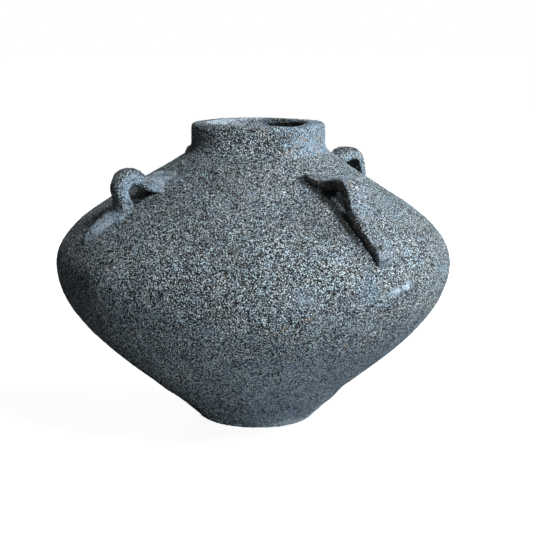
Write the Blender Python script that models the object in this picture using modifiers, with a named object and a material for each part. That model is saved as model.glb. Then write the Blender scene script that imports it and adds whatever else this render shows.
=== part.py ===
"""Squat terracotta vase: foot ring, floor, bowl, shoulder, collar and four strap lugs.

Each piece of clay is its own object. The pieces were luted together when damp, so thin joints part them.
Sizes are in metres, +Z is up, and the origin is on the belly's axis at the level the foot stands on.
"""

import math

import bmesh
import bpy
from mathutils import Matrix, Vector
from mathutils.geometry import interpolate_bezier

# Driving dimensions of the body
BELLY_RADIUS = 0.180
BELLY_HEIGHT = 0.1478
WALL = 0.0095
JOINT = 0.0003
TURN_STEPS = 64
ARC_POINTS = 10

# Foot ring and floor
FOOT_STAND_RADIUS = 0.0505
FOOT_STAND_PULL = Vector((0.003, 0.0))
FOOT_EDGE_RADIUS = 0.0562
FOOT_EDGE_HEIGHT = 0.0045
FOOT_EDGE_PULL = Vector((-0.002, -0.002))
FOOT_HOLLOW_RADIUS = 0.036
FOOT_RING_HEIGHT = 0.011
FOOT_TOP_RADIUS = 0.0734
FOOT_TOP_HEIGHT = 0.0203

# Bowl: the wall leaves the floor at a slope and turns upright at the belly
BOWL_BASE_RADIUS = 0.0739
BOWL_BASE_PULL = Vector((0.0298, 0.0298))
BOWL_BELLY_PULL = 0.0521

# Shoulder: upright at the belly, then a long slope in to the neck opening
SHOULDER_BELLY_PULL = 0.0398
SHOULDER_TOP_RADIUS = 0.0650
SHOULDER_TOP_HEIGHT = 0.2466
SHOULDER_TOP_PULL = Vector((0.0481, -0.0341))

# Collar with its thick lip
COLLAR_RADIUS = 0.0607
COLLAR_TOP = 0.2735
COLLAR_FILLET_HEIGHT = 0.010
COLLAR_FOOT_PULL = Vector((-0.0025, 0.0018))
MOUTH_RADIUS = 0.0450
LIP_OUTER_ROUND = 0.0040
LIP_INNER_ROUND = 0.0020
ROUND_PULL = 0.55

# The vase was built by hand, so the collar and the foot sit a little off the belly's axis
OFFSET_DIRECTION = math.radians(-37.0)
FOOT_OFFSET = 0.0024
NECK_OFFSET = 0.0044

# A lug's strap, from its lower tail tip over the loop to its upper tail tip. Each point is the distance up the
# shoulder from the loop's lower root, the height of the strap's middle above the clay, and its share of thickness
LUG_ROOT_HEIGHT = 0.2077
LUG_THICKNESS = 0.0105
LUG_PATH = (
    (-0.049, 0.0006, 0.45),
    (-0.028, 0.0022, 0.80),
    (-0.013, 0.0048, 1.00),
    (-0.0055, 0.0115, 1.00),
    (-0.0005, 0.0178, 1.00),
    (0.0073, 0.0208, 1.00),
    (0.0145, 0.0190, 1.00),
    (0.0200, 0.0138, 1.00),
    (0.0240, 0.0065, 1.00),
    (0.0310, 0.0024, 0.90),
    (0.047, 0.0005, 0.50),
)

# Each lug's angle from +X, the width of its strap, how far it stands to the left of that angle, how far up the
# shoulder it was set beside the path above, and how far its lower tail reaches beside that path
LUGS = {
    "lug_right": (math.radians(4.0), 0.0215, 0.000, 0.009, 1.00),
    "lug_rear": (math.radians(85.0), 0.0185, -0.008, 0.009, 1.00),
    "lug_left": (math.radians(178.0), 0.0185, 0.003, 0.000, 1.00),
    "lug_front": (math.radians(-88.0), 0.0250, -0.001, 0.000, 1.22),
}

# Finish: dark grey-blue grit over fired clay
COAT_COLOUR = (0.070, 0.080, 0.088, 1.0)
INSIDE_COLOUR = (0.085, 0.090, 0.093, 1.0)
FOOT_COLOUR = (0.082, 0.093, 0.102, 1.0)
LUG_COLOUR = (0.088, 0.101, 0.113, 1.0)
COAT_ROUGHNESS = 0.95


def clear_scene():
    for obj in list(bpy.data.objects):
        bpy.data.objects.remove(obj, do_unlink=True)


def new_collection(name):
    collection = bpy.data.collections.new(name)
    bpy.context.scene.collection.children.link(collection)
    return collection


def clay(name, colour):
    """A dull coated-clay material."""
    material = bpy.data.materials.new(name)
    material.use_nodes = True
    shader = material.node_tree.nodes["Principled BSDF"]
    shader.inputs["Base Color"].default_value = colour
    shader.inputs["Roughness"].default_value = COAT_ROUGHNESS
    shader.inputs["Metallic"].default_value = 0.0
    return material


def add_part(name, mesh, collection, colour):
    mesh.shade_smooth()
    mesh.set_sharp_from_angle(angle=math.radians(40))
    part = bpy.data.objects.new(name, mesh)
    part.data.materials.append(clay(name + "_clay", colour))
    collection.objects.link(part)
    return part


def off_axis(distance):
    """A sideways step away from the belly's axis."""
    return Vector((math.cos(OFFSET_DIRECTION), math.sin(OFFSET_DIRECTION), 0.0)) * distance


def shoulder_wander(height):
    """How far the shoulder has wandered off the belly's axis at this height."""
    share = (height - BELLY_HEIGHT) / (SHOULDER_TOP_HEIGHT - BELLY_HEIGHT)
    return off_axis(NECK_OFFSET * min(max(share, 0.0), 1.0) ** 3)


def arc(start, start_pull, end_pull, end, points=ARC_POINTS):
    """Points along one Bezier arc, each (radius, height)."""
    return interpolate_bezier(start, start + start_pull, end + end_pull, end, points)


def inset(points, depth):
    """The same outline moved inwards, square to itself. The outline runs from the top down."""
    moved = []
    for i, point in enumerate(points):
        along = points[min(i + 1, len(points) - 1)] - points[max(i - 1, 0)]
        inward = Vector((along.y, -along.x)).normalized()
        moved.append(point + inward * depth)
    return moved


def bowl_outside():
    """The bowl's outer wall, from the belly down to the floor."""
    belly = Vector((BELLY_RADIUS, BELLY_HEIGHT - JOINT / 2))
    base = Vector((BOWL_BASE_RADIUS, FOOT_TOP_HEIGHT + JOINT))
    return arc(belly, Vector((0.0, -BOWL_BELLY_PULL)), BOWL_BASE_PULL, base)


def shoulder_outside(points=ARC_POINTS):
    """The shoulder's outer wall, from the neck opening down to the belly."""
    top = Vector((SHOULDER_TOP_RADIUS, SHOULDER_TOP_HEIGHT))
    belly = Vector((BELLY_RADIUS, BELLY_HEIGHT + JOINT / 2))
    return arc(top, SHOULDER_TOP_PULL, Vector((0.0, SHOULDER_BELLY_PULL)), belly, points)


def collar_outline():
    """The collar's section: lip, outer side, fillet on to the shoulder, base and mouth."""
    base_height = SHOULDER_TOP_HEIGHT + JOINT
    lip_outside = Vector((COLLAR_RADIUS, COLLAR_TOP - LIP_OUTER_ROUND))
    lip_crest = Vector((COLLAR_RADIUS - LIP_OUTER_ROUND, COLLAR_TOP))
    lip_crest_inside = Vector((MOUTH_RADIUS + LIP_INNER_ROUND, COLLAR_TOP - JOINT))
    lip_inside = Vector((MOUTH_RADIUS, COLLAR_TOP - LIP_INNER_ROUND))
    fillet_top = Vector((COLLAR_RADIUS, base_height + COLLAR_FILLET_HEIGHT))
    fillet_foot = Vector((SHOULDER_TOP_RADIUS - JOINT, base_height))
    mouth_foot = Vector((MOUTH_RADIUS + WALL / 5, base_height))
    round_out = LIP_OUTER_ROUND * ROUND_PULL
    round_in = LIP_INNER_ROUND * ROUND_PULL
    return (
        arc(lip_inside, Vector((0.0, round_in)), Vector((-round_in, 0.0)), lip_crest_inside, 4)
        + arc(lip_crest, Vector((round_out, 0.0)), Vector((0.0, round_out)), lip_outside, 5)
        + arc(fillet_top, Vector((0.0, -COLLAR_FILLET_HEIGHT / 2)), COLLAR_FOOT_PULL, fillet_foot, 5)
        + [mouth_foot]
    )


def shell_outline(outside):
    """A wall's section between two level joints, from its outer outline."""
    inside = inset(outside, WALL)
    top_run = inside[0] - inside[1]
    foot_run = inside[-1] - inside[-2]
    top = inside[0] + top_run * ((outside[0].y - inside[0].y) / top_run.y)
    foot = inside[-1] + foot_run * ((outside[-1].y - inside[-1].y) / foot_run.y)
    return outside + [foot] + inside[-2:0:-1] + [top]


def profile_mesh(name, outline, closed=True):
    """An outline of (radius, height) points as edges in the XZ plane."""
    mesh = bpy.data.meshes.new(name)
    count = len(outline)
    edges = [(i, (i + 1) % count) for i in range(count if closed else count - 1)]
    mesh.from_pydata([(point.x, 0.0, point.y) for point in outline], edges, [])
    return mesh


def add_turn(part):
    turn = part.modifiers.new("Turn", "SCREW")
    turn.axis = "Z"
    turn.angle = math.tau
    turn.steps = TURN_STEPS
    turn.render_steps = TURN_STEPS
    turn.use_smooth_shade = True
    turn.use_merge_vertices = True
    turn.merge_threshold = 0.0001


def turned_part(name, outline, collection, colour, closed=True):
    """A piece turned about its own axis from an outline that runs down its outer side."""
    part = add_part(name, profile_mesh(name, outline, closed), collection, colour)
    add_turn(part)
    return part


def made_mesh(part):
    """The part's finished mesh, with what its modifiers or its curve make."""
    bpy.context.view_layer.update()
    graph = bpy.context.evaluated_depsgraph_get()
    return bpy.data.meshes.new_from_object(part.evaluated_get(graph))


def wandering_part(name, outline, collection, colour, closed=True):
    """A turned piece whose axis wanders sideways as it rises."""
    turning = turned_part(name + "_turning", outline, collection, colour, closed)
    mesh = made_mesh(turning)
    bpy.data.objects.remove(turning, do_unlink=True)
    mesh.materials.clear()
    for vertex in mesh.vertices:
        vertex.co += shoulder_wander(vertex.co.z)
    return add_part(name, mesh, collection, colour)


def make_foot_ring(collection):
    stand = Vector((FOOT_STAND_RADIUS, 0.0))
    edge = Vector((FOOT_EDGE_RADIUS, FOOT_EDGE_HEIGHT))
    slope = (FOOT_TOP_RADIUS - FOOT_EDGE_RADIUS) / (FOOT_TOP_HEIGHT - FOOT_EDGE_HEIGHT)
    top = Vector((FOOT_EDGE_RADIUS + slope * (FOOT_RING_HEIGHT - FOOT_EDGE_HEIGHT), FOOT_RING_HEIGHT))
    rounding = arc(edge, FOOT_EDGE_PULL, FOOT_STAND_PULL, stand, 5)
    hollow = [Vector((FOOT_HOLLOW_RADIUS, 0.0)), Vector((FOOT_HOLLOW_RADIUS, FOOT_RING_HEIGHT))]
    ring = turned_part("foot_ring", [top] + rounding + hollow, collection, FOOT_COLOUR)
    ring.location = off_axis(FOOT_OFFSET)
    return top


def make_floor_disc(ring_top, collection):
    underside = ring_top.y + JOINT
    outline = [
        Vector((0.0, FOOT_TOP_HEIGHT)),
        Vector((FOOT_TOP_RADIUS, FOOT_TOP_HEIGHT)),
        Vector((ring_top.x, underside)),
        Vector((0.0, underside)),
    ]
    disc = turned_part("floor_disc", outline, collection, INSIDE_COLOUR, closed=False)
    disc.location = off_axis(FOOT_OFFSET)


def make_collar(collection):
    collar = turned_part("neck_collar", collar_outline(), collection, COAT_COLOUR)
    collar.location = off_axis(NECK_OFFSET)


def make_lug_bed(collection):
    """The shoulder's outside grown by one joint and filled solid, which the lugs are cut to fit."""
    grown = inset(shoulder_outside(), -JOINT)
    outline = [Vector((0.0, grown[0].y))] + grown + [Vector((0.0, grown[-1].y))]
    bed = wandering_part("lug_bed", outline, collection, COAT_COLOUR, closed=False)
    bed.hide_render = True
    bed.display_type = "WIRE"
    return bed


def shoulder_walk():
    """Fine points up the shoulder, each with its distance from the lugs' root."""
    points = shoulder_outside(200)[::-1]
    distances = [0.0]
    for low, high in zip(points, points[1:]):
        distances.append(distances[-1] + (high - low).length)
    root = next(d for d, point in zip(distances, points) if point.y >= LUG_ROOT_HEIGHT)
    return points, [d - root for d in distances]


def strap_points(seat, reach):
    """The strap's middle line over the loop, each (radius, height, share of thickness)."""
    points, distances = shoulder_walk()
    places = []
    for along, above, share in LUG_PATH:
        if along < 0.0:
            along *= reach
        i = next(i for i, d in enumerate(distances) if d >= along + seat)
        uphill = (points[i] - points[i - 1]).normalized()
        outward = Vector((uphill.y, -uphill.x))
        place = points[i] + outward * above
        places.append((place.x, place.y, share))
    return places


def make_lug(name, angle, width, aside, seat, reach, bed, collection):
    curve = bpy.data.curves.new(name + "_strap", "CURVE")
    curve.dimensions = "3D"
    curve.resolution_u = 4
    curve.bevel_depth = LUG_THICKNESS / 2
    curve.bevel_resolution = 3
    curve.use_fill_caps = True
    spline = curve.splines.new("BEZIER")
    spline.bezier_points.add(len(LUG_PATH) - 1)
    for knot, (radius, height, share) in zip(spline.bezier_points, strap_points(seat, reach)):
        knot.co = (radius, 0.0, height)
        knot.radius = share
        knot.handle_left_type = "AUTO"
        knot.handle_right_type = "AUTO"
    strap = bpy.data.objects.new(name + "_strap", curve)
    collection.objects.link(strap)
    mesh = made_mesh(strap)
    bpy.data.objects.remove(strap, do_unlink=True)
    welding = bmesh.new()
    welding.from_mesh(mesh)
    bmesh.ops.remove_doubles(welding, verts=welding.verts, dist=0.00001)
    welding.to_mesh(mesh)
    welding.free()
    widened = Matrix.Diagonal((1.0, width / LUG_THICKNESS, 1.0, 1.0))
    mesh.transform(Matrix.Translation((0.0, aside, 0.0)) @ widened)
    lug = add_part(name, mesh, collection, LUG_COLOUR)
    lug.location = shoulder_wander(LUG_ROOT_HEIGHT)
    lug.rotation_euler.z = angle
    trim = lug.modifiers.new("Trim to shoulder", "BOOLEAN")
    trim.operation = "DIFFERENCE"
    trim.solver = "EXACT"
    trim.object = bed


def main():
    clear_scene()
    parts = new_collection("terracotta_vase")
    cutters = new_collection("vase_cutters")
    ring_top = make_foot_ring(parts)
    make_floor_disc(ring_top, parts)
    turned_part("lower_bowl", shell_outline(bowl_outside()), parts, COAT_COLOUR)
    wandering_part("shoulder", shell_outline(shoulder_outside()), parts, COAT_COLOUR)
    make_collar(parts)
    bed = make_lug_bed(cutters)
    for name, (angle, width, aside, seat, reach) in LUGS.items():
        make_lug(name, angle, width, aside, seat, reach, bed, parts)


main()
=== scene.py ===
import math

import bmesh
import bpy
import numpy as np
from mathutils import Matrix, Vector, noise
from mathutils.geometry import interpolate_bezier


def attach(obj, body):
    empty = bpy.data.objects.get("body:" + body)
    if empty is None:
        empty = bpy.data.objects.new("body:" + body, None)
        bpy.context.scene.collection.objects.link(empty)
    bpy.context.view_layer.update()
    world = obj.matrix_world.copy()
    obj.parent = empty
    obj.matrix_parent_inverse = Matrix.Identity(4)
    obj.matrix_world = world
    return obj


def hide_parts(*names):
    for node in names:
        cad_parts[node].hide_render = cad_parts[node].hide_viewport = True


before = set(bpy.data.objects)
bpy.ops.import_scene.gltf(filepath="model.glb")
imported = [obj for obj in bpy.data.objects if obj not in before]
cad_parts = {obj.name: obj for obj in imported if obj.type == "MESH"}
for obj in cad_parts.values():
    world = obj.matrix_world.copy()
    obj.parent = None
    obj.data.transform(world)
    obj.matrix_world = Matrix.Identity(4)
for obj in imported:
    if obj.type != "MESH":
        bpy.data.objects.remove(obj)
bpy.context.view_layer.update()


# Foot ring: a low flared ring of coarse clay that the vase stands on, thrown separately and luted on.
# It has the same sandy slip as the body, rubbed paler along its lower edge where it has been set down.
# That edge is painted much paler on the right as a highlight, and shade is painted dark in a band high
# on its side at the left.
STAND_RADIUS = 0.0505
HOLLOW_RADIUS = 0.0360
RING_TOP = 0.01115
FOOT_TOP = 0.02045
FOOT_EDGE = Vector((0.0562, 0.0045))
FOOT_SHOULDER = Vector((0.0734, FOOT_TOP))
FOOT_EDGE_PULL = (-0.002, -0.002)
STAND_PULL = (0.003, 0.0)
BELLY_HEIGHT = 0.1478
NECK_FOOT = 0.24675
# The way to the right as the vase is shown, and how far its foot and its neck stand off that way.
SHOWN_TURN = math.radians(-37)
FOOT_DRIFT = 0.0024
FOOT_DRIFT_OVER = 0.014
NECK_DRIFT = 0.0044
TURN_STEPS = 720
SMALL_TURN_STEPS = 480
DOUBLINGS = 4
WELD = 0.000005
SHARP_CORNER = math.radians(50)
# How much slip lies on the outside, in the hidden hollows, and on the faces that are stood on or joined.
FULL_COAT = 1.0
HIDDEN_COAT = 0.6
THIN_COAT = 0.4
SAND_HEIGHT = 0.00060
# Lumps in layers, each so high and so far apart.
SAND_LUMPS = ((0.85, 0.0026), (0.20, 0.0060))
WALL_LUMPS = ((0.00060, 0.085), (0.00030, 0.019))
# How much more sand the low wall and the left side hold, and how pale the dust and painted sheen on the low
# right are, with the heights in metres and the turns in degrees over which these set in or fade.
MORE_LOW = 0.85
LOW_WALL = (0.055, 0.135)
MORE_LEFT = 0.45
LEFT_FULL = 0.65
DUST_AND_SHEEN = 0.64
DUST_AND_SHEEN_WALL = (0.055, 0.130)
DUST_AND_SHEEN_FROM = (-35, 15)
RIGHT_SIDE_END = (95, 140)


def arc(start, start_pull, end_pull, end, points):
    """Points along one Bezier arc, each (radius, height)."""
    return interpolate_bezier(start, start + Vector(start_pull), end + Vector(end_pull), end, points)


def line(start, end, points):
    """Points along one straight stretch, each (radius, height)."""
    return [start.lerp(end, i / (points - 1)) for i in range(points)]


def turned(name, runs, closed=True, steps=TURN_STEPS):
    """A mesh turned about Z. Each run is a smooth stretch of the outline with the strength of its coat."""
    bm = bmesh.new()
    lift = bm.verts.layers.float_vector.new("lift")
    coat = bm.verts.layers.float.new("coat")
    outline = []
    for points, strength in runs:
        last = len(points) - 1
        for i, point in enumerate(points):
            along = points[min(i + 1, last)] - points[max(i - 1, 0)]
            outward = Vector((-along.y, along.x)).normalized()
            vert = bm.verts.new((point.x, 0.0, point.y))
            vert[lift] = (outward.x, 0.0, outward.y)
            vert[coat] = strength
            outline.append(vert)
    ends = outline[1:] + outline[:1] if closed else outline[1:]
    edges = [bm.edges.new(pair) for pair in zip(outline, ends)]
    sectors = 2 ** DOUBLINGS
    bmesh.ops.spin(bm, geom=outline + edges, cent=(0, 0, 0), axis=(0, 0, 1), angle=math.tau / sectors,
                   steps=steps // sectors)
    for doubling in range(DOUBLINGS):
        copied = bmesh.ops.duplicate(bm, geom=bm.verts[:] + bm.edges[:] + bm.faces[:])["geom"]
        bmesh.ops.rotate(bm, verts=[item for item in copied if isinstance(item, bmesh.types.BMVert)],
                         cent=(0, 0, 0), matrix=Matrix.Rotation(math.tau / sectors * 2 ** doubling, 3, "Z"))
    bmesh.ops.remove_doubles(bm, verts=bm.verts, dist=WELD)
    bmesh.ops.recalc_face_normals(bm, faces=bm.faces)
    return finished(name, bm)


def finished(name, bm):
    """The mesh with smooth faces and sharp corners where its runs meet."""
    for face in bm.faces:
        face.smooth = True
    for edge in bm.edges:
        edge.smooth = edge.calc_face_angle(0.0) < SHARP_CORNER
    mesh = bpy.data.meshes.new(name)
    bm.to_mesh(mesh)
    bm.free()
    return mesh


def places(mesh):
    """Every vertex's place, as rows."""
    values = np.zeros(len(mesh.vertices) * 3)
    mesh.vertices.foreach_get("co", values)
    return values.reshape(-1, 3)


def move(mesh, points):
    """Puts every vertex at its row's place."""
    mesh.vertices.foreach_set("co", points.ravel())
    mesh.update()


def read(mesh, name):
    """One number kept on every vertex."""
    values = np.zeros(len(mesh.vertices))
    mesh.attributes[name].data.foreach_get("value", values)
    return values


def mark(mesh, name, values):
    """Keeps a number on every vertex for the material to read."""
    layer = mesh.attributes.get(name) or mesh.attributes.new(name, "FLOAT", "POINT")
    layer.data.foreach_set("value", np.zeros(len(mesh.vertices)) + values)


def wear_light_and_shade(mesh, worn_and_lit=0.0, bare=0.0, soot_and_shade=0.0):
    """Marks how far the slip is rubbed pale and painted lit, chipped, and blackened by soot and painted
    shade.
    """
    mark(mesh, "worn_and_lit", worn_and_lit)
    mark(mesh, "bare", bare)
    mark(mesh, "soot_and_shade", soot_and_shade)


def eased(values, low, high):
    """0 below low, 1 above high, and a smooth step between."""
    part = np.clip((values - low) / (high - low), 0.0, 1.0)
    return part * part * (3.0 - 2.0 * part)


def between(values, rise, fall):
    """1 between a rising and a falling stretch, and 0 outside them."""
    return eased(values, *rise) * (1.0 - eased(values, *fall))


def band(heights, middle, reach):
    """1 at one height, fading to 0 this far above and below it."""
    return np.clip(1.0 - np.abs(heights - middle) / reach, 0.0, 1.0)


def shown_turn(points):
    """Degrees round from the side of the vase that is shown, to its right as it is seen."""
    right = points[:, 0] * math.cos(SHOWN_TURN) + points[:, 1] * math.sin(SHOWN_TURN)
    near = points[:, 0] * math.sin(SHOWN_TURN) - points[:, 1] * math.cos(SHOWN_TURN)
    return np.degrees(np.arctan2(right, near))


def drift(heights):
    """How far the hand-built axis has wandered sideways at these heights."""
    foot = 1.0 - eased(heights, FOOT_TOP, FOOT_TOP + FOOT_DRIFT_OVER)
    neck = np.clip((heights - BELLY_HEIGHT) / (NECK_FOOT - BELLY_HEIGHT), 0.0, 1.0)
    off = FOOT_DRIFT * foot + NECK_DRIFT * neck ** 3
    return np.column_stack((off * math.cos(SHOWN_TURN), off * math.sin(SHOWN_TURN), 0.0 * off))


def lumps(points, apart):
    """Soft lumps about this far apart, from -1 to 1, that run on from piece to piece."""
    return np.array([noise.noise(point) for point in (points / apart).tolist()])


def layered(points, layers):
    """Lumps of several sizes, added up."""
    return sum(high * lumps(points, apart) for high, apart in layers)


def build_up(points, outward, coat):
    """Raises the uneven clay wall and the sand of its slip, and tells how high the sand stands."""
    sand = layered(points, SAND_LUMPS)
    rise = layered(points, WALL_LUMPS) + SAND_HEIGHT * coat * sand
    return points + outward * rise[:, None], sand


def weather(mesh):
    """Builds the coat up on a turned piece and lets its axis wander."""
    points = places(mesh)
    lift = np.zeros(points.size)
    mesh.attributes["lift"].data.foreach_get("vector", lift)
    lift = lift.reshape(-1, 3)
    radius = np.maximum(np.hypot(points[:, 0], points[:, 1]), 1e-9)
    turn = points[:, :2] / radius[:, None]
    outward = np.column_stack((turn * lift[:, :1], lift[:, 2]))
    moved, sand = build_up(points, outward, read(mesh, "coat"))
    moved += drift(points[:, 2])
    mark(mesh, "sand", sand)
    mesh.attributes.remove(mesh.attributes["lift"])
    move(mesh, moved)
    return moved


def gather(mesh, points):
    """Lets the slip hold more sand low on the wall and round the left side, where it lies thicker."""
    low = 1.0 - eased(points[:, 2], *LOW_WALL)
    left = eased(-np.sin(np.radians(shown_turn(points))), 0.0, LEFT_FULL)
    mark(mesh, "coat", read(mesh, "coat") * (1.0 + MORE_LOW * low + MORE_LEFT * left))


def dust_and_sheen(points):
    """A pale bloom on the lower wall on the right: dust from handling and setting down, and painted sheen.
    """
    round_right = between(shown_turn(points), DUST_AND_SHEEN_FROM, RIGHT_SIDE_END)
    return DUST_AND_SHEEN * round_right * (1.0 - eased(points[:, 2], *DUST_AND_SHEEN_WALL))


# The slip's colours, from its pits to its crests, where it is rubbed pale and painted lit, and where it is
# gone or blackened by soot and painted shade.
PIT = (0.009, 0.0085, 0.008, 1.0)
SLIP = (0.140, 0.157, 0.169, 1.0)
CREST = (0.600, 0.730, 0.810, 1.0)
RUBBED_AND_LIT_PIT = (0.150, 0.210, 0.285, 1.0)
RUBBED_AND_LIT = (0.440, 0.570, 0.700, 1.0)
CHALK_AND_HIGHLIGHT = (0.800, 0.880, 0.930, 1.0)
TERRACOTTA = (0.360, 0.235, 0.150, 1.0)
SHADE_AND_SOOT = (0.058, 0.053, 0.048, 1.0)
COOL = (0.95, 1.00, 1.05, 1.0)
WARM = (1.06, 1.00, 0.95, 1.0)
PIT_LEVEL = 0.21
SLIP_LEVEL = 0.50
CREST_LEVEL = 0.80
# Each mottling: how many marks to a metre, their detail and roughness, and the ranges it is stretched
# from and to.
GRAIN_EDGES = (900.0, 1.0, 0.6, (0.3, 0.7), (-0.12, 0.12))
PALE_PATCHES = (120.0, 3.0, 0.6, (0.38, 0.62), (0.25, 1.15))
CHIPS = (420.0, 1.0, 0.5, (0.68, 0.76), (0.0, 0.7))
CHIP_CLUSTERS = (21.0, 1.0, 0.5, (0.52, 0.64), (0.0, 1.0))
BARE_SPOTS = (200.0, 1.5, 0.5, (0.62, 0.68), (0.0, 1.0))
CLOUDS = (38.0, 3.0, 0.6, (0.35, 0.65), (0.84, 1.14))
FLECKS = (330.0, 2.0, 0.6, (0.34, 0.66), (0.58, 1.46))
EARTHY_SPOTS = (75.0, 4.0, 0.65, (0.40, 0.60), (0.0, 1.0))
SHADE_AND_SOOT_EDGES = (300.0, 3.0, 0.75, (0.35, 0.65), (-0.22, 0.22))
# The grains to a metre, the ranges of their domes and tones, and the shares of these fine grains and of
# the sand's own relief in the height of the coat.
GRAINS = 850.0
GRAIN_DOMES = (-0.80, -0.12)
GRAIN_TONES = ((0.25, 0.75), (0.78, 1.10))
GRAIN_SHARE = 0.87
SAND_RANGE = (-0.45, 0.45)
SAND_SHARE = 0.13
MID_LEVEL = 0.5
GRAIN_DEPTH = 0.0010
# How the grain breaks up the rubbing and the painted light, where they turn chalky white, and how soot and
# painted shade sink between the grains.
PALE_ON_GRAIN = ((0.2, 0.8), (0.45, 1.1))
CHALK_AND_HIGHLIGHT_FROM = (1.0, 2.0)
SUNK_SHADE_AND_SOOT = 0.45
SHADE_AND_SOOT_RANGE = (0.02, 0.62)
DULL = 0.93
FAINT_SHINE = 0.25


def add_node(tree, kind, **settings):
    node = tree.nodes.new(kind)
    for name, value in settings.items():
        setattr(node, name, value)
    return node


def wire(tree, socket, value):
    """Links a socket to another node's output, or sets it."""
    if isinstance(value, bpy.types.NodeSocket):
        tree.links.new(value, socket)
    else:
        socket.default_value = value


def put(tree, node, **values):
    """Sets or wires a node's inputs by name, with _ for a space."""
    for name, value in values.items():
        wire(tree, node.inputs[name.replace("_", " ")], value)


def spread(tree, value, from_range, to_range=(0.0, 1.0)):
    """A value in one range stretched to another, and held there."""
    node = add_node(tree, "ShaderNodeMapRange")
    put(tree, node, Value=value, From_Min=from_range[0], From_Max=from_range[1],
        To_Min=to_range[0], To_Max=to_range[1])
    return node.outputs["Result"]


def mottling(tree, where, marks, detail, roughness, from_range, to_range):
    """Noise with this many marks to a metre, stretched from one range to another."""
    node = add_node(tree, "ShaderNodeTexNoise")
    put(tree, node, Vector=where, Scale=marks, Detail=detail, Roughness=roughness)
    return spread(tree, node.outputs["Fac"], from_range, to_range)


def calc(tree, operation, first, second):
    """Two values put together. A sum is held between 0 and 1."""
    node = add_node(tree, "ShaderNodeMath", operation=operation, use_clamp=operation == "ADD")
    wire(tree, node.inputs[0], first)
    wire(tree, node.inputs[1], second)
    return node.outputs["Value"]


def blend(tree, kind, factor, first, second):
    """Two colours mixed or multiplied."""
    node = add_node(tree, "ShaderNodeMix", data_type="RGBA", blend_type=kind)
    for socket, value in zip((node.inputs[0], node.inputs[6], node.inputs[7]), (factor, first, second)):
        wire(tree, socket, value)
    return node.outputs[2]


def node_group(name, inputs, output):
    """An empty node group of numbers, its two end nodes, and the place on the piece that it reads."""
    group = bpy.data.node_groups.new(name, "ShaderNodeTree")
    for label in inputs:
        group.interface.new_socket(label, in_out="INPUT", socket_type="NodeSocketFloat")
    group.interface.new_socket(output, in_out="OUTPUT", socket_type="NodeSocketFloat")
    where = add_node(group, "ShaderNodeTexCoord").outputs["Object"]
    return group, add_node(group, "NodeGroupInput"), add_node(group, "NodeGroupOutput"), where


def make_grit():
    """Sand grains in the slip: crests near 1, pits near 0."""
    group, start, end, where = node_group("grit", ["Sand"], "Height")
    cells = add_node(group, "ShaderNodeTexVoronoi", feature="F1")
    put(group, cells, Vector=where, Scale=GRAINS, Randomness=1.0)
    ragged = mottling(group, where, *GRAIN_EDGES)
    domes = spread(group, calc(group, "SUBTRACT", ragged, cells.outputs["Distance"]), GRAIN_DOMES)
    tones = spread(group, cells.outputs["Color"], *GRAIN_TONES)
    grains = calc(group, "MULTIPLY", calc(group, "MULTIPLY", domes, tones), GRAIN_SHARE)
    crests = calc(group, "MULTIPLY", spread(group, start.outputs["Sand"], SAND_RANGE), SAND_SHARE)
    put(group, end, Height=calc(group, "ADD", grains, crests))
    return group


def make_rubbing_and_light():
    """Where the slip has been rubbed pale and where light is painted on as paleness, broken up by the grain.
    """
    group, start, end, where = node_group("rubbing_and_light", ["Worn", "Height"], "Mask")
    patchy = mottling(group, where, *PALE_PATCHES)
    broken = calc(group, "MULTIPLY", patchy, spread(group, start.outputs["Height"], *PALE_ON_GRAIN))
    put(group, end, Mask=spread(group, calc(group, "MULTIPLY", start.outputs["Worn"], broken), (0.0, 1.0)))
    return group


def make_specks():
    """Chips where the orange clay shows through the slip, in clusters and wherever it is marked bare."""
    group, start, end, where = node_group("specks", ["Bare"], "Mask")
    chips = calc(group, "MULTIPLY", mottling(group, where, *CHIPS), mottling(group, where, *CHIP_CLUSTERS))
    bare = calc(group, "MULTIPLY", start.outputs["Bare"], mottling(group, where, *BARE_SPOTS))
    put(group, end, Mask=calc(group, "ADD", chips, bare))
    return group


GRIT = make_grit()
RUBBING_AND_LIGHT = make_rubbing_and_light()
SPECKS = make_specks()


def grouped(tree, group, **values):
    """A node group placed in a material, and what it puts out."""
    node = add_node(tree, "ShaderNodeGroup", node_tree=group)
    put(tree, node, **values)
    return node.outputs[0]


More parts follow.
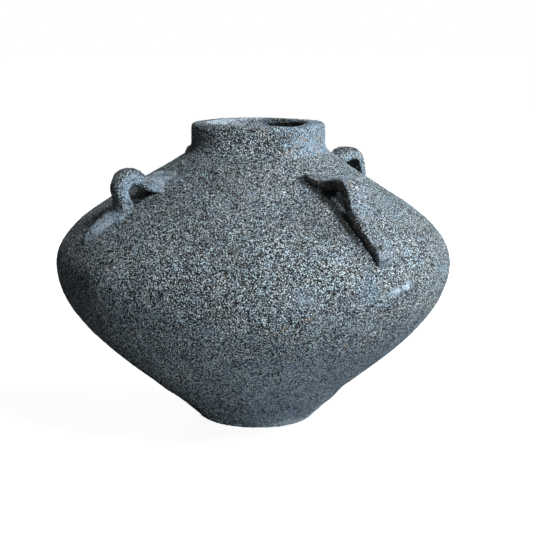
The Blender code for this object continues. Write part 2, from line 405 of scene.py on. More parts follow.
def coated(name):
    """The sandy slip over terracotta, read from each vertex's coat, wear with painted light, bare,
    soot with painted shade, and sand marks.
    """
    material = bpy.data.materials.new(name)
    material.use_nodes = True
    material.cycles.use_bump_map_correction = False
    tree = material.node_tree
    coat, worn_and_lit, bare, soot_and_shade, sand = (
        add_node(tree, "ShaderNodeAttribute", attribute_name=marked).outputs["Fac"]
        for marked in ("coat", "worn_and_lit", "bare", "soot_and_shade", "sand"))
    where = add_node(tree, "ShaderNodeTexCoord").outputs["Object"]

    grain = grouped(tree, GRIT, Sand=sand)
    raised = calc(tree, "MULTIPLY", coat, calc(tree, "SUBTRACT", grain, MID_LEVEL))
    level = calc(tree, "ADD", raised, MID_LEVEL)
    ramp = add_node(tree, "ShaderNodeValToRGB")
    pit, crest = ramp.color_ramp.elements
    pit.position, pit.color = PIT_LEVEL, PIT
    crest.position, crest.color = CREST_LEVEL, CREST
    ramp.color_ramp.elements.new(SLIP_LEVEL).color = SLIP
    put(tree, ramp, Fac=level)

    clouds = mottling(tree, where, *CLOUDS)
    flecks = mottling(tree, where, *FLECKS)
    earth = blend(tree, "MIX", mottling(tree, where, *EARTHY_SPOTS), COOL, WARM)
    colour = ramp.outputs["Color"]
    for tint in (clouds, flecks, earth):
        colour = blend(tree, "MULTIPLY", 1.0, colour, tint)

    pale = blend(tree, "MIX", level, RUBBED_AND_LIT_PIT, RUBBED_AND_LIT)
    chalk_and_highlight = calc(tree, "MULTIPLY", grain, spread(tree, worn_and_lit, CHALK_AND_HIGHLIGHT_FROM))
    pale = blend(tree, "MIX", chalk_and_highlight, pale, CHALK_AND_HIGHLIGHT)
    colour = blend(tree, "MIX", grouped(tree, RUBBING_AND_LIGHT, Worn=worn_and_lit, Height=grain), colour, pale)
    colour = blend(tree, "MIX", grouped(tree, SPECKS, Bare=bare), colour, TERRACOTTA)

    ragged = mottling(tree, where, *SHADE_AND_SOOT_EDGES)
    sunk = calc(tree, "SUBTRACT", soot_and_shade, calc(tree, "MULTIPLY", grain, SUNK_SHADE_AND_SOOT))
    black = spread(tree, calc(tree, "SUBTRACT", sunk, ragged), SHADE_AND_SOOT_RANGE)
    colour = blend(tree, "MIX", black, colour, blend(tree, "MULTIPLY", 1.0, colour, SHADE_AND_SOOT))

    bump = add_node(tree, "ShaderNodeBump")
    put(tree, bump, Strength=1.0, Distance=GRAIN_DEPTH, Height=level)
    put(tree, tree.nodes["Principled BSDF"], Base_Color=colour, Roughness=DULL,
        Specular_IOR_Level=FAINT_SHINE, Normal=bump.outputs["Normal"])
    return material


def add_piece(node, mesh, material):
    """Puts a finished mesh in place of its CAD node."""
    mesh.materials.append(material)
    piece = bpy.data.objects.new("vase_" + node, mesh)
    bpy.context.scene.collection.objects.link(piece)
    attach(piece, "root")
    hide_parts(node)


RING_DUST_AND_SHEEN = 2.2
EDGE_BAND = (0.004, 0.006)
EDGE_RUB = 0.35
EDGE_LIGHT_RIGHT = 3.2
EDGE_RIGHT_FROM = (6, 34)
GROOVE_BAND = (0.0085, 0.003)
GROOVE_SHADE = 0.6
GROOVE_LEFT_END = (-15, 20)
ring_edge = FOOT_EDGE.lerp(FOOT_SHOULDER, (RING_TOP - FOOT_EDGE.y) / (FOOT_TOP - FOOT_EDGE.y))
stand = Vector((STAND_RADIUS, 0.0))
hollow_foot = Vector((HOLLOW_RADIUS, 0.0))
ring_side = line(ring_edge, FOOT_EDGE, 9)[:-1] + arc(FOOT_EDGE, FOOT_EDGE_PULL, STAND_PULL, stand, 9)
ring_under = line(stand, hollow_foot, 12)
ring_hollow = line(hollow_foot, Vector((HOLLOW_RADIUS, RING_TOP)), 9)
ring_runs = [(ring_side, FULL_COAT), (ring_under, THIN_COAT), (ring_hollow, HIDDEN_COAT)]
ring_mesh = turned("vase_foot_ring", ring_runs, steps=SMALL_TURN_STEPS)
ring_points = weather(ring_mesh)
gather(ring_mesh, ring_points)
ring_points[:, 2] = np.maximum(ring_points[:, 2], 0.0)
move(ring_mesh, ring_points)
ring_turn = shown_turn(ring_points)
# The lower edge is rubbed paler all round, and painted much paler on the right as a highlight.
ring_rub_and_light = EDGE_RUB + EDGE_LIGHT_RIGHT * between(ring_turn, EDGE_RIGHT_FROM, RIGHT_SIDE_END)
ring_rub_and_light *= band(ring_points[:, 2], *EDGE_BAND)
# Shade is painted dark in a band high on the ring's side at the left, as in the crease above it.
ring_shade = GROOVE_SHADE * band(ring_points[:, 2], *GROOVE_BAND) * (1.0 - eased(ring_turn, *GROOVE_LEFT_END))
wear_light_and_shade(ring_mesh, worn_and_lit=np.maximum(RING_DUST_AND_SHEEN * dust_and_sheen(ring_points), ring_rub_and_light), soot_and_shade=ring_shade)
add_piece("foot_ring", ring_mesh, coated("foot_slip"))


# Floor disc: the slab of clay that closes the vase above the foot ring. Its rim shows as the upper
# part of the foot, its top is the floor inside, under a smoother wash of the same slip.
WIPED_COAT = 0.45
FLOOR_DUST_AND_SHEEN = 1.6
RIM_LIGHT = 2.4
RIM_RIGHT_FROM = (40, 66)
floor_top = line(Vector((0.0, FOOT_TOP)), FOOT_SHOULDER, 26)
floor_side = line(FOOT_SHOULDER, ring_edge, 11)
floor_under = line(ring_edge, Vector((0.0, RING_TOP)), 20)
floor_runs = [(floor_top, WIPED_COAT), (floor_side, FULL_COAT), (floor_under, HIDDEN_COAT)]
floor_mesh = turned("vase_floor_disc", floor_runs, closed=False, steps=SMALL_TURN_STEPS)
floor_points = weather(floor_mesh)
gather(floor_mesh, floor_points)
# The rim is painted paler on the right as a highlight where the light falls.
floor_rim_light = RIM_LIGHT * between(shown_turn(floor_points), RIM_RIGHT_FROM, RIGHT_SIDE_END)
wear_light_and_shade(floor_mesh, worn_and_lit=np.maximum(FLOOR_DUST_AND_SHEEN * dust_and_sheen(floor_points), floor_rim_light))
add_piece("floor_disc", floor_mesh, coated("floor_slip"))


# Lower bowl: the wide cone of the lower body, pinched and coiled up from the floor to the belly. The
# slip was thrown on thick with sand, so its outside is all grains; the inside is wiped smoother.
WALL = 0.0095
BELLY = Vector((0.180, BELLY_HEIGHT))
BELLY_PULL_DOWN = (0.0, -0.0521)
BOWL_BASE = Vector((0.0739, FOOT_TOP))
BOWL_BASE_PULL = (0.0298, 0.0298)
BOWL_ROWS = 116
INNER_ROWS = 12
# Each rubbed or chipped patch: degrees to the right, height, width and tallness in mm, and strength.
BOWL_RUBS = [
    (45.5, 146.5, 7, 3.2, 2.8), (41.5, 144, 6, 3, 2.4), (39, 141.5, 5, 2.5, 1.5), (33, 145, 12, 9, 0.6),
    (32, 113, 13, 8, 0.75), (63, 138, 11, 5, 0.6), (14, 144, 12, 8, 0.5), (20, 126, 11, 7, 0.6),
    (-12, 118, 16, 6, 0.5), (52, 120, 10, 6, 0.5), (5, 104, 14, 5, 0.5), (24, 92, 14, 5, 0.6),
    (-30, 128, 16, 6, 0.4), (46, 97, 10, 6, 0.55)]
BOWL_CHIPS = [
    (15, 129, 6, 4, 0.9), (43, 127, 5, 4, 0.8), (36, 110, 5, 4, 0.8), (30, 100, 8, 5, 0.6),
    (16, 95, 14, 8, 0.6), (-6, 108, 22, 10, 0.5), (8, 118, 14, 8, 0.6), (24, 60, 14, 12, 0.4)]


def inner_side(outside, rows):
    """The wall's inner face, from its foot up, between level ends."""
    every = max(1, len(outside) // rows)
    picked = outside[::every] if (len(outside) - 1) % every == 0 else outside[::every] + outside[-1:]
    inside = []
    for i, point in enumerate(picked):
        along = picked[min(i + 1, len(picked) - 1)] - picked[max(i - 1, 0)]
        inside.append(point + Vector((along.y, -along.x)).normalized() * WALL)
    for end, neighbour in ((0, 1), (-1, -2)):
        run = inside[end] - inside[neighbour]
        inside[end] = inside[end] + run * ((picked[end].y - inside[end].y) / run.y)
    return inside[::-1]


def patches(points, spots):
    """Soft patches on the outside, each at a turn and a height, so wide, so tall and so strong."""
    turn = shown_turn(points)
    millimetres = points * 1000.0
    radius = np.hypot(millimetres[:, 0], millimetres[:, 1])
    total = np.zeros(len(points))
    for spot_turn, height, wide, tall, strength in spots:
        off = np.radians(turn - spot_turn) * radius / wide
        up = (millimetres[:, 2] - height) / tall
        total = np.maximum(total, strength * np.exp(-off * off - up * up))
    return total


bowl_outside = arc(BELLY, BELLY_PULL_DOWN, BOWL_BASE_PULL, BOWL_BASE, BOWL_ROWS)
bowl_runs = [(bowl_outside, FULL_COAT), (inner_side(bowl_outside, INNER_ROWS), WIPED_COAT)]
bowl_mesh = turned("vase_lower_bowl", bowl_runs)
bowl_points = weather(bowl_mesh)
gather(bowl_mesh, bowl_points)
wear_light_and_shade(bowl_mesh, worn_and_lit=np.maximum(dust_and_sheen(bowl_points), patches(bowl_points, BOWL_RUBS)),
     bare=patches(bowl_points, BOWL_CHIPS))
add_piece("lower_bowl", bowl_mesh, coated("bowl_slip"))


# Shoulder: the upper body, drawn in from the belly to the neck opening with coils and beaten smooth,
# under the same thick sandy slip. Its axis leans a little to one side as it rises. Its wear, and the shadow
# and shade painted beside and under the lugs, are marked with the lugs that are pressed on to it.
NECK_OPENING = Vector((0.0650, NECK_FOOT))
NECK_OPENING_PULL = (0.0481, -0.0341)
BELLY_PULL_UP = (0.0, 0.0398)
SHOULDER_ROWS = 112
SHOULDER_RUBS = [
    (46, 149.2, 6, 2.4, 1.8), (66, 153, 8, 6, 0.6), (33, 150, 12, 8, 0.45), (14, 150, 12, 6, 0.4),
    (60, 205, 18, 10, 0.3)]
SHOULDER_CHIPS = [(46, 149, 5, 3, 0.4), (21, 168, 5, 4, 0.4)]
shoulder_outside = arc(NECK_OPENING, NECK_OPENING_PULL, BELLY_PULL_UP, BELLY, SHOULDER_ROWS)
shoulder_runs = [(shoulder_outside, FULL_COAT), (inner_side(shoulder_outside, INNER_ROWS), WIPED_COAT)]
shoulder_mesh = turned("vase_shoulder", shoulder_runs)
shoulder_points = weather(shoulder_mesh)
shoulder_coat = read(shoulder_mesh, "coat")
gather(shoulder_mesh, shoulder_points)
add_piece("shoulder", shoulder_mesh, coated("shoulder_slip"))


# Neck collar: a short thick band of clay set on the shoulder's opening, its lip rounded over with wet
# fingers and its foot smeared down on to the shoulder. The lip dips a little at the front right.
COLLAR_RADIUS = 0.0607
COLLAR_TOP = 0.2735
MOUTH_RADIUS = 0.0450
LIP_OUTER = 0.0040
LIP_INNER = 0.0020
CIRCLE_PULL = 0.55
LIP_DIP = 0.0018
DIP_TURN = 42.0
DIP_WIDE = 18.0
DIP_TOP = COLLAR_TOP - 0.001
FILLET_TOP = 0.2569
FILLET_TOP_PULL = (0.0, -0.006)
FILLET_FOOT = Vector((0.0680, 0.2441))
FILLET_FOOT_PULL = (-0.004, 0.003)
MOUTH_FOOT = Vector((0.0469, NECK_FOOT))
# The mouth's inside ends in this ring of the lip, the light painted pale on its left reaches this far right
# of the middle, and the shade painted dark in it sets in below the lip and further right.
INSIDE_END = (0.0465, 0.0485)
MOUTH_LIT = 2.2
MOUTH_LIT_END = (-0.002, 0.016)
MOUTH_SHADE = 2.4
MOUTH_SHADE_BELOW = (0.002, 0.005)
MOUTH_SHADE_FROM = (0.004, 0.036)
COLLAR_RUB_AND_LIGHT = 0.75
COLLAR_RUB_AND_LIGHT_FROM = (12, 45)
COLLAR_RUB_AND_LIGHT_END = (110, 150)
COLLAR_CHIPPED = 0.4
COLLAR_CHIPPED_FROM = (-25, -5)
COLLAR_CHIPPED_END = (70, 100)
mouth_edge = Vector((MOUTH_RADIUS, COLLAR_TOP - LIP_INNER))
lip_in = Vector((MOUTH_RADIUS + LIP_INNER, COLLAR_TOP))
lip_out = Vector((COLLAR_RADIUS - LIP_OUTER, COLLAR_TOP))
lip_side = Vector((COLLAR_RADIUS, COLLAR_TOP - LIP_OUTER))
fillet_top = Vector((COLLAR_RADIUS, FILLET_TOP))
pull_in = LIP_INNER * CIRCLE_PULL
pull_out = LIP_OUTER * CIRCLE_PULL
collar_outside = line(MOUTH_FOOT, mouth_edge, 18)[:-1]
collar_outside += arc(mouth_edge, (0.0, pull_in), (-pull_in, 0.0), lip_in, 8)
collar_outside += line(lip_in, lip_out, 6)[1:-1]
collar_outside += arc(lip_out, (pull_out, 0.0), (0.0, pull_out), lip_side, 9)
collar_outside += line(lip_side, fillet_top, 12)[1:-1]
collar_outside += arc(fillet_top, FILLET_TOP_PULL, FILLET_FOOT_PULL, FILLET_FOOT, 14)
collar_base = line(FILLET_FOOT, MOUTH_FOOT, 8)
collar_runs = [(collar_outside, FULL_COAT), (collar_base, THIN_COAT)]
collar_mesh = turned("vase_neck_collar", collar_runs, steps=SMALL_TURN_STEPS)
collar_points = weather(collar_mesh)
from_middle = collar_points - np.array([math.cos(SHOWN_TURN), math.sin(SHOWN_TURN), 0.0]) * NECK_DRIFT
collar_turn = shown_turn(from_middle)
collar_out = np.hypot(from_middle[:, 0], from_middle[:, 1])
collar_right = collar_out * np.sin(np.radians(collar_turn))
collar_dip = LIP_DIP * np.exp(-((collar_turn - DIP_TURN) / DIP_WIDE) ** 2)
collar_points[:, 2] -= collar_dip * eased(collar_points[:, 2], FILLET_TOP, DIP_TOP)
move(collar_mesh, collar_points)
collar_inside = 1.0 - eased(collar_out, *INSIDE_END)
# The collar's outside is rubbed pale and painted lit on the right, where the light falls.
collar_worn_and_lit = COLLAR_RUB_AND_LIGHT * between(collar_turn, COLLAR_RUB_AND_LIGHT_FROM, COLLAR_RUB_AND_LIGHT_END) * (1.0 - collar_inside)
# Light is painted on as paleness on the left of the mouth's inside.
collar_worn_and_lit += MOUTH_LIT * collar_inside * (1.0 - eased(collar_right, *MOUTH_LIT_END))
collar_bare = COLLAR_CHIPPED * between(collar_turn, COLLAR_CHIPPED_FROM, COLLAR_CHIPPED_END)
# Shade is painted dark on the right of the mouth's inside, below the lip.
collar_deep = eased(COLLAR_TOP - collar_points[:, 2], *MOUTH_SHADE_BELOW)
collar_shade = MOUTH_SHADE * collar_inside * collar_deep * eased(collar_right, *MOUTH_SHADE_FROM)
wear_light_and_shade(collar_mesh, worn_and_lit=collar_worn_and_lit, bare=collar_bare, soot_and_shade=collar_shade)
add_piece("neck_collar", collar_mesh, coated("collar_slip"))


# Strap lugs: four flat straps of clay bent into loops, their ends pressed on to the shoulder with the
# thumb. The slip lies thick on their outer faces and is rubbed pale on their sides and tails, with chips
# down to the orange clay.
LUG_ROOT = 0.2077
SECTION_POINTS = 64
SPAN_STEPS = 8
MM = 0.001
# Each station along a strap, in mm: up the slope, above it, thickness, width and sway to its left.
BENT_CLOSE = [
    (-54, -4.0, 3.0, 12, -5.6), (-49, -0.8, 4.2, 15, -4.6), (-43, 0.2, 4.6, 17.5, -3.8),
    (-35, 0.6, 4.8, 20, -2.6), (-25, 1.0, 5.4, 22, -0.6), (-16, 2.4, 7.0, 21.5, 1.4),
    (-8.6, 5.0, 12, 20.5, 3.2), (-7.0, 10.6, 10, 18, 3.4), (-3.6, 17.6, 10.6, 16.2, 3),
    (2.4, 21.8, 11.6, 16, 3), (8.4, 21.2, 11.6, 16, 3), (13, 17.4, 10.6, 16.5, 3),
    (16.4, 12, 9.4, 18, 3), (19.2, 6.4, 8.2, 23, 3), (24, 2.2, 5.6, 32, 3), (31, 0.4, 4.2, 38, 2),
    (38, 0.0, 3.8, 38, 2), (45, -1.0, 3.2, 28, 6), (50, -4.0, 3.0, 16, 9)]
BENT_TALL = [
    (-57, -4.0, 3.0, 12, 6), (-50, 0.2, 4.2, 17, 5), (-38, 0.5, 5.0, 21, 3.4), (-26, 0.8, 6.0, 23, 1),
    (-16, 2.4, 7.4, 22, -0.6), (-9.4, 6.8, 7.6, 21.5, -0.6), (-5.4, 12.4, 7.4, 21.5, -0.5),
    (-0.8, 17.4, 7.6, 21.5, -0.5), (5.6, 20.8, 8.6, 21.5, -0.5), (11.2, 20.8, 9.4, 21.5, -0.5),
    (16.4, 18.2, 10.2, 21.5, -0.5), (21, 13.8, 11.0, 21.5, -0.5), (25.2, 8.8, 10.8, 22, -0.5),
    (30, 4.8, 9.4, 26, 0), (36, 2.2, 7.4, 30, 0), (43, 0.8, 5.6, 28, 0), (49, -1.0, 4.0, 20, 0),
    (54, -4.0, 3.0, 12, 0)]
DRAWN_OUT = [
    (-64, -4.0, 3.0, 14, -3), (-59, 1.6, 8.0, 19, -3.6), (-49, 2.8, 9.6, 22, -3.8), (-37, 3.0, 9.8, 23, -4),
    (-26, 3.2, 9.8, 24, -3.6), (-17, 4.6, 9.8, 25, -2.4), (-9.5, 8.4, 10.0, 25, -1.2),
    (-2, 13.4, 10.2, 25, -0.4), (6, 16.6, 10.4, 25, 0), (12, 15.6, 10.4, 25, 0), (17, 12.4, 10.2, 25, 0),
    (21.5, 8.4, 10.0, 25.5, 0), (26.5, 5.0, 9.4, 27, -0.5), (33, 2.8, 8.2, 29, -1.5),
    (40, 1.2, 6.6, 28, -3), (47, -0.4, 5.0, 22, -5), (53, -4.0, 3.0, 13, -6)]
# Each lug: its angle round the shoulder, how far up it sits and its bend; how rubbed its sides, outer face,
# lower tail and upper end are; how far those two ends are tipped over to the left; how dark the shade
# painted on its left side and inside its loop is, and how sooty the top of its bend is; and how much slip is
# left on the middle of its tail.
LUGS = {
    "lug_right": dict(angle=4, seat=0.009, stations=BENT_TALL, rubbed=(0.75, 0.0, 0.4, 0.2),
                      tipped=(0.0, 0.0), shaded_and_sooty=(0.0, 0.9, 0.5), whole=0.0),
    "lug_rear": dict(angle=80, seat=0.009, stations=BENT_CLOSE, rubbed=(0.9, 0.20, 0.6, 0.4),
                     tipped=(0.2, 0.1), shaded_and_sooty=(0.2, 0.4, 0.1), whole=0.0),
    "lug_left": dict(angle=178, seat=0.0, stations=BENT_CLOSE, rubbed=(1.0, 0.05, 1.3, 1.5),
                     tipped=(0.30, 0.24), shaded_and_sooty=(0.0, 0.3, 0.0), whole=0.0),
    "lug_front": dict(angle=-88, seat=0.0, stations=DRAWN_OUT, rubbed=(0.2, 0.40, 0.60, 0.2),
                      tipped=(0.0, 0.0), shaded_and_sooty=(1.0, 1.0, 0.0), whole=0.85),
}
# Where the parts of a strap begin: its tail down the slope, its bend and its upper end up the slope, and
# its crown above it.
TAIL_FROM = (0.008, 0.020)
BEND_FROM = (0.002, 0.008)
PAD_FROM = (0.018, 0.028)
CROWN_FROM = (0.012, 0.020)
# The section's bulge on legs and crown, how square its sides are, and how far its underside bulges.
LEG_BULGE = 0.58
CROWN_BULGE = 0.80
SQUARE_SIDES = 0.5
ROUNDER_ENDS = 0.35
OUTER_ROUND = 0.75
INNER_ROUND = 0.7
INNER_BULGE = 0.5
# Where, round the section, its rubbed edges, its edge and underside with painted shade, and its sooty top
# set in.
RUBBED_EDGE = (0.90, 0.97)
SHADED_EDGE = (0.80, 0.95)
UNDERSIDE = (0.3, 0.7)
TOPSIDE = (0.35, 0.7)
# The slip and sand on a strap, and the mottling of its wear, its soot blots and its chips.
LUG_COAT = 0.88
RUBBED_COAT_LOSS = 0.15
LUG_SAND = 0.9
KNOBBLES = ((0.0007, 0.008), (0.0005, 0.0045))
MOTTLE = 0.7
MOTTLE_APART = 0.011
BLOT = 0.7
BLOT_APART = 0.012
BLOT_FROM = (0.12, 0.45)
LUG_CHIPPED = 0.45
WHOLE_AT = -0.037
WHOLE_REACH = 0.012
# On the shoulder beside a strap: the smeared fillet, the pale fringe, and the shadow painted beside it and
# the shade painted under its loop.
FILLET = 0.0012
FILLET_REACH = 0.0028
FILLET_BELOW = 0.244
OUTSIDE_COAT = 0.9
FRINGE = 0.55
FRINGE_REACH = 0.0030
PRESSED_WIDE = 0.40
TOUCH_OVER = 0.002
END_FADE = 0.008
SHADE_FADE = (-0.010, 0.040)
SHADE_OFF = 0.0020
SHADE_REACH = 0.0075
HOLE_SHADE = 0.85
HOLE_REACH = 0.0028
HOLE_WIDE = 0.15


def through(knots, per_span):
    """A smooth line through the knots, with the same number of steps in every span."""
    knots = np.array(knots, float)
    padded = np.vstack((2 * knots[0] - knots[1], knots, 2 * knots[-1] - knots[-2]))
    steps = np.linspace(0.0, 1.0, per_span, endpoint=False)[:, None]
    spans = []
    for a, b, c, d in zip(padded, padded[1:], padded[2:], padded[3:]):
        curl = 2 * a - 5 * b + 4 * c - d + steps * (3 * (b - c) + d - a)
        spans.append(b + 0.5 * steps * (c - a + steps * curl))
    return np.vstack(spans + [knots[-1:]])


slope = np.array([tuple(point) for point in shoulder_outside[::-1]])
walked = np.concatenate(([0.0], np.cumsum(np.hypot(*np.diff(slope, axis=0).T))))
walked -= np.interp(LUG_ROOT, slope[:, 1], walked)


def on_slope(along, step=0.002):
    """Places on the shoulder's outline this far up from the lugs' root, and the way out from them."""
    near = np.column_stack([np.interp(along, walked, slope[:, k]) for k in (0, 1)])
    ahead = np.column_stack([np.interp(along + step, walked, slope[:, k]) for k in (0, 1)])
    uphill = ahead - near
    uphill /= np.hypot(uphill[:, 0], uphill[:, 1])[:, None]
    return near, np.column_stack((uphill[:, 1], -uphill[:, 0]))


def strap(name, angle, seat, stations, rubbed, tipped, shaded_and_sooty, whole):
    """A strap drawn out ring by ring from a flat rounded section, over its loop and down its tails."""
    path = through(stations, SPAN_STEPS) * MM
    foot, outward = on_slope(path[:, 0] + seat)
    centre = foot + outward * path[:, 1:2]
    ahead = np.gradient(centre, axis=0)
    ahead /= np.hypot(ahead[:, 0], ahead[:, 1])[:, None]
    across = np.column_stack((ahead[:, 1], -ahead[:, 0]))
    bulge = LEG_BULGE + (CROWN_BULGE - LEG_BULGE) * eased(path[:, 1], *CROWN_FROM)
    tail = eased(-path[:, 0], *TAIL_FROM)
    pad = eased(path[:, 0], *PAD_FROM)
    tip = tipped[0] * tail + tipped[1] * pad
    kept = 1.0 - whole * np.exp(-((path[:, 0] - WHOLE_AT) / WHOLE_REACH) ** 2)
    smoked = eased(path[:, 0], *BEND_FROM) * (1.0 - pad)

    bm = bmesh.new()
    coat = bm.verts.layers.float.new("coat")
    worn_and_lit = bm.verts.layers.float.new("worn_and_lit")
    soot_and_shade = bm.verts.layers.float.new("soot_and_shade")
    first = ring = bmesh.ops.create_circle(bm, segments=SECTION_POINTS, radius=1.0)["verts"]
    edges = list(bm.edges)
    turn = np.array([math.atan2(vert.co.y, vert.co.x) for vert in ring])
    up, aside = np.sin(turn), np.cos(turn)
    outer = np.clip(up, 0.0, 1.0) ** OUTER_ROUND
    inner = INNER_BULGE * np.clip(-up, 0.0, 1.0) ** INNER_ROUND
    flat = np.abs(aside) ** SQUARE_SIDES

    on_sides, on_face, on_tail, on_pad = rubbed
    left_shade, loop_shade, sooty_bend = shaded_and_sooty
    flank = on_face + (on_sides - on_face) * eased(flat, *RUBBED_EDGE)
    # Shade is painted dark on the strap's left side and on the underside of its loop.
    left_shading = left_shade * eased(flat, *SHADED_EDGE) * (aside < 0.0)
    shaded = np.maximum(left_shading, loop_shade * eased(-up, *UNDERSIDE))
    topped = sooty_bend * eased(up, *TOPSIDE)
    for i, (_, _, thick, wide, sway) in enumerate(path):
        if i:
            drawn = bmesh.ops.extrude_edge_only(bm, edges=edges)["geom"]
            ring = [item for item in drawn if isinstance(item, bmesh.types.BMVert)]
            edges = [item for item in drawn if isinstance(item, bmesh.types.BMEdge)]
        shown = (flank * (1.0 - tail[i] - pad[i]) + on_tail * tail[i] + on_pad * pad[i]) * kept[i]
        black = np.maximum(shaded, topped * smoked[i])
        side = np.copysign(np.abs(aside) ** (SQUARE_SIDES + ROUNDER_ENDS * (tail[i] + pad[i])), aside)
        for vert, s, f, w, b in zip(ring, side, outer * bulge[i] - inner, shown, black):
            radius, height = centre[i] + across[i] * (f * thick - tip[i] * s * wide / 2)
            vert.co = (radius, s * wide / 2 + sway, height)
            vert[coat] = LUG_COAT - RUBBED_COAT_LOSS * min(w, 1.0)
            vert[worn_and_lit] = w
            vert[soot_and_shade] = b
    bmesh.ops.contextual_create(bm, geom=first)
    bmesh.ops.contextual_create(bm, geom=ring)
    bmesh.ops.recalc_face_normals(bm, faces=bm.faces)
    bmesh.ops.rotate(bm, verts=bm.verts, cent=(0, 0, 0), matrix=Matrix.Rotation(math.radians(angle), 3, "Z"))
    return finished("vase_" + name, bm)


def roughen(mesh, left_shading):
    """Gives a strap its knobbles, slip and sand, sets it on the leaning shoulder, and mottles its wear."""
    points = places(mesh)
    normals = np.array([tuple(vert.normal) for vert in mesh.vertices])
    mottled = 1.0 + MOTTLE * lumps(points, MOTTLE_APART)
    points = points + normals * layered(points, KNOBBLES)[:, None]
    points, sand = build_up(points, normals, np.full(len(points), LUG_SAND))
    points += drift(np.full(len(points), LUG_ROOT))
    move(mesh, points)
    blots = BLOT * left_shading * eased(lumps(points, BLOT_APART), *BLOT_FROM)
    worn_and_lit = read(mesh, "worn_and_lit") * mottled
    mark(mesh, "sand", sand)
    wear_light_and_shade(mesh, worn_and_lit, LUG_CHIPPED * np.clip(worn_and_lit, 0.0, 1.0), np.maximum(read(mesh, "soot_and_shade"), blots))


def beside(points, angle, seat, stations):
    """How far the shoulder lies off a strap's middle, the strap's width, its touch and its reach there."""
    path = through(stations, SPAN_STEPS) * MM
    spin = math.radians(angle)
    level = points[:, :2] - drift(points[:, 2])[:, :2]
    aside = level[:, 1] * math.cos(spin) - level[:, 0] * math.sin(spin)
    same_side = level[:, 0] * math.cos(spin) + level[:, 1] * math.sin(spin) > 0.0
    along = np.interp(points[:, 2], slope[:, 1], walked) - seat
    touching = np.clip(1.0 - (path[:, 1] - path[:, 2] * 0.5) / TOUCH_OVER, 0.0, 1.0)
    wide, sway, touch = (np.interp(along, path[:, 0], row) for row in (path[:, 3], path[:, 4], touching))
    bottom, top = path[0, 0], path[-1, 0]
    ends = np.clip((along - bottom) / END_FADE, 0.0, 1.0) * np.clip((top - along) / END_FADE, 0.0, 1.0)
    faded = ends * eased(along, bottom + SHADE_FADE[0], bottom + SHADE_FADE[1])
    return aside - sway, wide, touch * ends * same_side, faded * same_side


shoulder_worn = patches(shoulder_points, SHOULDER_RUBS)
shoulder_shade = np.zeros(len(shoulder_points))
for lug_name, lug in LUGS.items():
    lug_mesh = strap(lug_name, **lug)
    lug_left_shading = lug["shaded_and_sooty"][0]
    roughen(lug_mesh, lug_left_shading)
    add_piece(lug_name, lug_mesh, coated(lug_name + "_slip"))
    outside = (shoulder_coat > OUTSIDE_COAT) & (shoulder_points[:, 2] < FILLET_BELOW)
    off, wide, pressed, reached = beside(shoulder_points, lug["angle"], lug["seat"], lug["stations"])
    gap = np.maximum(np.abs(off) - PRESSED_WIDE * wide, 0.0)
    core = np.maximum(np.abs(off) - HOLE_WIDE * wide, 0.0)
    shoulder_points[:, 2] += FILLET * pressed * np.exp(-(gap / FILLET_REACH) ** 2) * outside
    fringe = FRINGE * lug["rubbed"][2] * pressed * np.exp(-(gap / FRINGE_REACH) ** 2)
    # A shadow is painted dark on the shoulder to the left of a strap, and shade under its loop.
    cast_shadow = lug_left_shading ** 2 * reached * np.exp(-((off + 0.5 * wide + SHADE_OFF) / SHADE_REACH) ** 2)
    hole = HOLE_SHADE * (reached - pressed) * np.exp(-(core / HOLE_REACH) ** 2)
    shoulder_worn = np.maximum(shoulder_worn, fringe)
    shoulder_shade = np.maximum(shoulder_shade, np.maximum(cast_shadow, hole))
move(shoulder_mesh, shoulder_points)
wear_light_and_shade(shoulder_mesh, worn_and_lit=shoulder_worn, bare=patches(shoulder_points, SHOULDER_CHIPS), soot_and_shade=shoulder_shade)


# Studio: a plain pale floor and four soft lamps: a window high on the right, a side window behind it, a
# low fill from the front and a fill for the back. The white surround is seen, but lights almost nothing.
NEAR_SIDE = Vector((math.sin(SHOWN_TURN), -math.cos(SHOWN_TURN), 0.0))
RIGHT_SIDE = Vector((math.cos(SHOWN_TURN), math.sin(SHOWN_TURN), 0.0))
UP = Vector((0.0, 0.0, 1.0))
MIDDLE = UP * 0.15
WHITE = (1.0, 1.0, 1.0, 1.0)
FLOOR_GREY = (0.28, 0.28, 0.28, 1.0)
FLOOR_HALF = 20.0
# The strength of the floor's white glow that only the camera sees, from close to the vase to further out.
FLOOR_REACH = (0.25, 1.2)
FLOOR_WHITE = (0.93, 1.0)
SURROUND_TINT = (1.0, 0.94, 0.86, 1.0)
SURROUND_LIGHT = 0.012
# Each lamp: degrees to the right and up, distance and size in metres, watts and colour.
LAMPS = {
    "window": (42, 47, 1.7, 0.6, 25.5, (0.95, 0.985, 1.0)),
    "side_window": (114, 24, 1.6, 0.45, 27.0, (0.89, 0.975, 1.0)),
    "low_fill": (36, 0, 1.8, 0.26, 19.5, (0.89, 0.970, 1.0)),
    "back_fill": (180, 4, 1.9, 0.5, 28.0, (0.95, 0.985, 1.0)),
}
CAMERA_AWAY = 1.149
CAMERA_RIGHT = 0.01206
CAMERA_HEIGHT = 0.3519
CAMERA_TILT = math.radians(79.54)
CAMERA_SENSOR = 36.0
CAMERA_LENS = 85.0


def stand_in_studio(name, data):
    """A new object for the studio, in the scene."""
    thing = bpy.data.objects.new(name, data)
    bpy.context.scene.collection.objects.link(thing)
    return thing


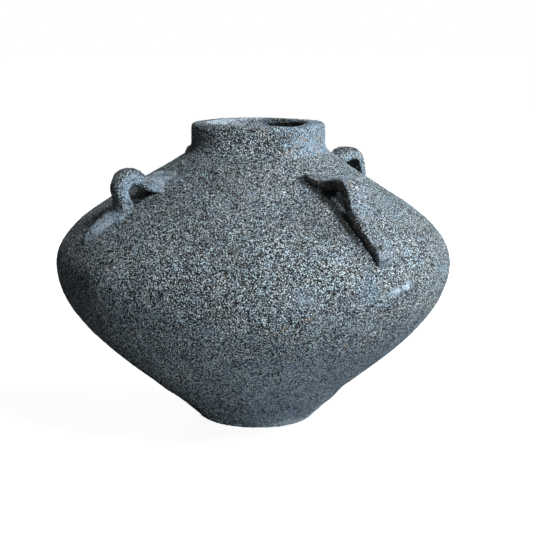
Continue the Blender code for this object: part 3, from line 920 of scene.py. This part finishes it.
def pale_floor():
    """A grey floor with a white glow that only the camera sees, so that shadows still show on it."""
    material = bpy.data.materials.new("studio_floor")
    material.use_nodes = True
    tree = material.node_tree
    tree.nodes.clear()
    diffuse = add_node(tree, "ShaderNodeBsdfDiffuse")
    put(tree, diffuse, Color=FLOOR_GREY)
    away = add_node(tree, "ShaderNodeVectorMath", operation="LENGTH")
    wire(tree, away.inputs[0], add_node(tree, "ShaderNodeTexCoord").outputs["Object"])
    white = spread(tree, away.outputs["Value"], FLOOR_REACH, FLOOR_WHITE)
    seen_by_camera = add_node(tree, "ShaderNodeLightPath").outputs["Is Camera Ray"]
    glow = add_node(tree, "ShaderNodeEmission")
    put(tree, glow, Color=WHITE, Strength=calc(tree, "MULTIPLY", seen_by_camera, white))
    both = add_node(tree, "ShaderNodeAddShader")
    wire(tree, both.inputs[0], diffuse.outputs["BSDF"])
    wire(tree, both.inputs[1], glow.outputs["Emission"])
    put(tree, add_node(tree, "ShaderNodeOutputMaterial"), Surface=both.outputs["Shader"])
    return material


studio_bm = bmesh.new()
bmesh.ops.create_grid(studio_bm, x_segments=1, y_segments=1, size=FLOOR_HALF)
studio_mesh = bpy.data.meshes.new("studio_floor")
studio_bm.to_mesh(studio_mesh)
studio_bm.free()
studio_mesh.materials.append(pale_floor())
stand_in_studio("studio_floor", studio_mesh)

for lamp_name, (turn, rise, away, size, watts, colour) in LAMPS.items():
    lamp_data = bpy.data.lights.new(lamp_name, "AREA")
    lamp_data.shape = "DISK"
    lamp_data.size = size
    lamp_data.energy = watts
    lamp_data.color = colour
    level = NEAR_SIDE * math.cos(math.radians(turn)) + RIGHT_SIDE * math.sin(math.radians(turn))
    towards = level * math.cos(math.radians(rise)) + UP * math.sin(math.radians(rise))
    lamp = stand_in_studio(lamp_name, lamp_data)
    lamp.location = MIDDLE + towards * away
    lamp.rotation_euler = (-towards).to_track_quat("-Z", "Y").to_euler()

surround = bpy.data.worlds.new("studio")
bpy.context.scene.world = surround
surround.use_nodes = True
sky = surround.node_tree
rays = add_node(sky, "ShaderNodeLightPath")
seen = calc(sky, "MAXIMUM", rays.outputs["Is Camera Ray"], rays.outputs["Is Glossy Ray"])
seen = calc(sky, "MAXIMUM", seen, rays.outputs["Is Transmission Ray"])
put(sky, sky.nodes["Background"], Color=blend(sky, "MIX", seen, SURROUND_TINT, WHITE),
    Strength=spread(sky, seen, (0.0, 1.0), (SURROUND_LIGHT, 1.0)))

camera_data = bpy.data.cameras.new("camera")
camera_data.sensor_width = CAMERA_SENSOR
camera_data.lens = CAMERA_LENS
camera = stand_in_studio("camera", camera_data)
camera.location = NEAR_SIDE * CAMERA_AWAY + RIGHT_SIDE * CAMERA_RIGHT + UP * CAMERA_HEIGHT
camera.rotation_euler = (CAMERA_TILT, 0.0, SHOWN_TURN)
bpy.context.scene.camera = camera
bpy.context.scene.view_settings.view_transform = "Standard"
